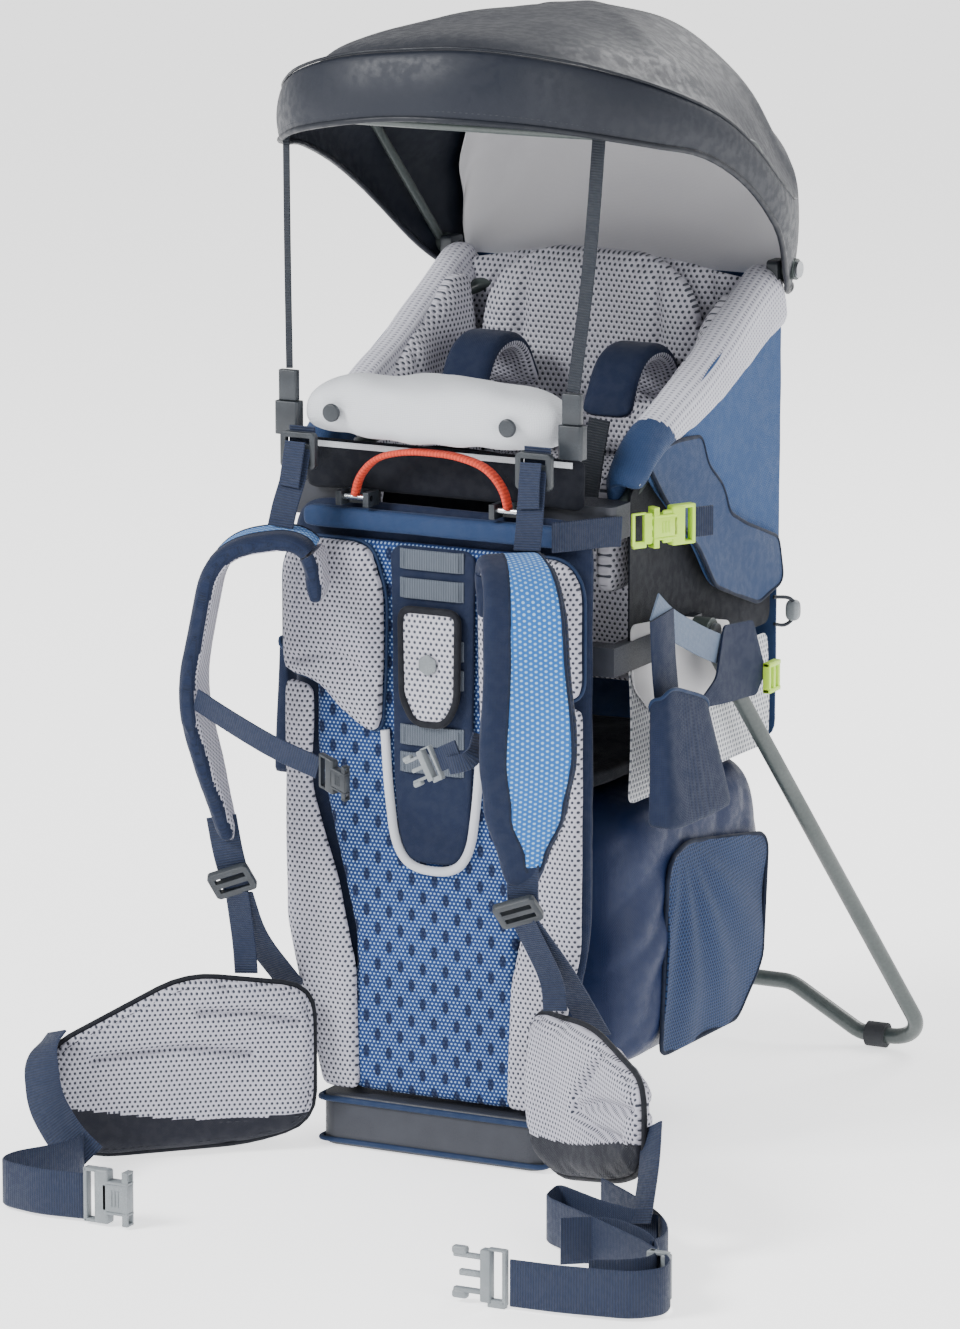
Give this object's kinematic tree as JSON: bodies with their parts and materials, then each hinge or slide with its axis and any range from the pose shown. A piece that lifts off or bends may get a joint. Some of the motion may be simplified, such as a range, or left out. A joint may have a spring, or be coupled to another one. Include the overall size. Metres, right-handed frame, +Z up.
{
  "type": "child_carrier_backpack",
  "caption": "Framed baby carrier backpack with folding kickstand, sun canopy, padded child seat, hip fins and mesh back panel",
  "frame": {"origin": "middle of the base pan, on the floor, in line with the front face of the back panel", "axes": "+X to the viewer's right when facing the back panel, +Y from the wearer's back into the pack, +Z up"},
  "size_m": [0.6466, 0.863, 0.9251],
  "materials": {
    "navy_fabric": "matte",
    "slate_fabric": "matte",
    "blue_mesh": "matte",
    "grey_mesh": "matte",
    "canopy_fabric": "satin",
    "light_fabric": "matte",
    "webbing": "matte",
    "handle_webbing": "matte",
    "dark_base": "matte",
    "grey_plastic": "satin",
    "lime_plastic": "satin",
    "frame_tube": "satin",
    "rod_steel": "satin",
    "rubber": "matte"
  },
  "bodies": {
    "frame": {"adjuster_flap": "navy_fabric", "adjuster_plate": "navy_fabric", "back_mesh_panel": "blue_mesh", "back_panel": "slate_fabric", "back_stays": "frame_tube", "base_pan": "dark_base", "canopy_sockets": "dark_base", "chin_pad": "light_fabric", "clip_loops": "dark_base", "foot_stirrups": "navy_fabric", "front_liner": "grey_mesh", "handle_anchors": "dark_base", "harness_pads": "navy_fabric", "head_rest": "grey_mesh", "head_wings": "grey_mesh", "hinge_pins": "rod_steel", "hoop_joiners": "dark_base", "label_panel": "dark_base", "ladder_locks": "grey_plastic", "ladder_rungs": "webbing", "load_lifter_straps": "webbing", "lower_pads": "grey_mesh", "main_frame": "frame_tube", "plate_trim": "light_fabric", "rear_panel": "navy_fabric", "rear_pocket": "slate_fabric", "seat_back_pad": "grey_mesh", "seat_base": "grey_mesh", "seat_hoop": "frame_tube", "shoulder_strap_left": "navy_fabric", "shoulder_strap_right": "navy_fabric", "side_arms": "dark_base", "side_buckle_female": "lime_plastic", "side_buckle_strap": "webbing", "side_flaps": "navy_fabric", "side_panels": "navy_fabric", "side_pockets": "blue_mesh", "snap_buttons": "grey_plastic", "sternum_buckles": "grey_plastic", "sternum_webbing": "webbing", "stirrup_straps": "webbing", "storage_bag": "slate_fabric", "strap_webbing": "webbing", "upper_pads": "grey_mesh", "yoke_band": "navy_fabric"},
    "kickstand": {"kickstand_tube": "frame_tube", "kickstand_feet": "rubber"},
    "canopy": {"canopy_hood": "canopy_fabric", "canopy_rear_panel": "light_fabric", "canopy_rod": "rod_steel", "canopy_straps": "webbing", "canopy_clips": "grey_plastic"},
    "hip_belt_left": {"hip_fin_left": "grey_mesh", "hip_webbing_left": "webbing", "hip_buckle_female": "grey_plastic"},
    "hip_belt_right": {"hip_fin_right": "grey_mesh", "hip_webbing_right": "webbing", "hip_buckle_male": "grey_plastic"},
    "handle": {"grab_handle": "handle_webbing"},
    "side_buckle": {"side_buckle_male": "lime_plastic"}
  },
  "joints": [
    {"name": "kickstand_fold", "type": "hinge", "parent": "frame", "child": "kickstand", "pos_m": [0, 0.178, 0.425], "axis": [-1, 0, 0], "range_deg": [0, 36]},
    {"name": "canopy_fold", "type": "hinge", "parent": "frame", "child": "canopy", "pos_m": [0, 0.335, 0.706], "axis": [-1, 0, 0], "range_deg": [0, 65]},
    {"name": "hip_fin_left_swing", "type": "hinge", "parent": "frame", "child": "hip_belt_left", "pos_m": [-0.098, -0.016, 0.07], "axis": [0, 0, 1], "range_deg": [-12, 14]},
    {"name": "hip_fin_right_swing", "type": "hinge", "parent": "frame", "child": "hip_belt_right", "pos_m": [0.098, -0.016, 0.07], "axis": [0, 0, 1], "range_deg": [-14, 8]},
    {"name": "handle_swing", "type": "hinge", "parent": "frame", "child": "handle", "pos_m": [0, -0.002, 0.548], "axis": [1, 0, 0], "range_deg": [0, 75]},
    {"name": "side_buckle_release", "type": "slide", "parent": "frame", "child": "side_buckle", "axis": [-0.5, -0.866, 0], "range_m": [0, 0.022]}
  ]
}
